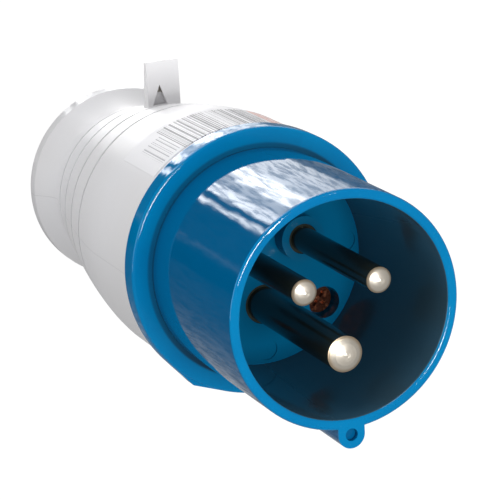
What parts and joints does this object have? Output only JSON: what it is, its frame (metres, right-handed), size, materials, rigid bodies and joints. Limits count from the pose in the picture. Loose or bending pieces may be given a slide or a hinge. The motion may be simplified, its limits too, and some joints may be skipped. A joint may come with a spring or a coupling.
{
  "type": "industrial pin and sleeve plug",
  "caption": "Round three-pole power plug: blue shroud with key and flange round three metal pins, grey tapered rear housing with grip grooves, lid lug and cord gland.",
  "frame": {"origin": "centre of the rear face, on the plug's axis, where the cord enters; the plug stands on this face", "axes": "+Z along the plug's axis towards the free ends of the pins; +Y towards the lug that a socket's lid hooks over, opposite the key; +X to the right as seen from the pin side with the lug up"},
  "size_m": [0.0544, 0.0596, 0.1225],
  "materials": {
    "housing_grey": "fine satin moulded plastic",
    "label_paper": "smooth printed film",
    "gland_grey": "satin moulded plastic",
    "ring_steel": "zinc-plated, satin",
    "cage_black": "matt moulded plastic",
    "bush_rubber": "matt rubber",
    "shell_blue": "glossy moulded plastic",
    "seal_rubber": "matt rubber",
    "carrier_cream": "satin moulded plastic",
    "screw_copper": "copper-plated, slightly dull",
    "contact_nickel": "nickel-plated, turned",
    "terminal_steel": "nickel-plated steel"
  },
  "bodies": {
    "housing": {"rear_housing": "housing_grey", "rating_label": "label_paper", "gland_cage": "cage_black", "gland_bush": "bush_rubber"},
    "thrust_ring": {"thrust_ring": "ring_steel"},
    "gland_nut": {"gland_nut": "gland_grey"},
    "front": {"front_shell": "shell_blue", "housing_seal": "seal_rubber", "contact_carrier": "carrier_cream", "carrier_screw_left": "screw_copper", "carrier_screw_right": "screw_copper", "line_pin": "contact_nickel", "neutral_pin": "contact_nickel", "earth_pin": "contact_nickel", "line_screw": "terminal_steel", "neutral_screw": "terminal_steel", "earth_screw": "terminal_steel", "line_plate": "terminal_steel", "neutral_plate": "terminal_steel", "earth_plate": "terminal_steel"}
  },
  "joints": [
    {"name": "gland_travel", "type": "slide", "parent": "housing", "child": "thrust_ring", "axis": [0, 0, -1], "range_m": [0, 0.00601]},
    {"name": "gland_turn", "type": "hinge", "parent": "thrust_ring", "child": "gland_nut", "pos_m": [0, 0, 0], "axis": [0, 0, -1], "range_deg": [0, 1440]},
    {"name": "housing_twist", "type": "hinge", "parent": "housing", "child": "front", "pos_m": [0, 0, 0.072], "axis": [0, 0, 1], "range_deg": [0, 30]}
  ],
  "couplings": [
    {"joint": "gland_travel", "follows": "gland_turn", "m_per_rad": 0.00023873}
  ]
}
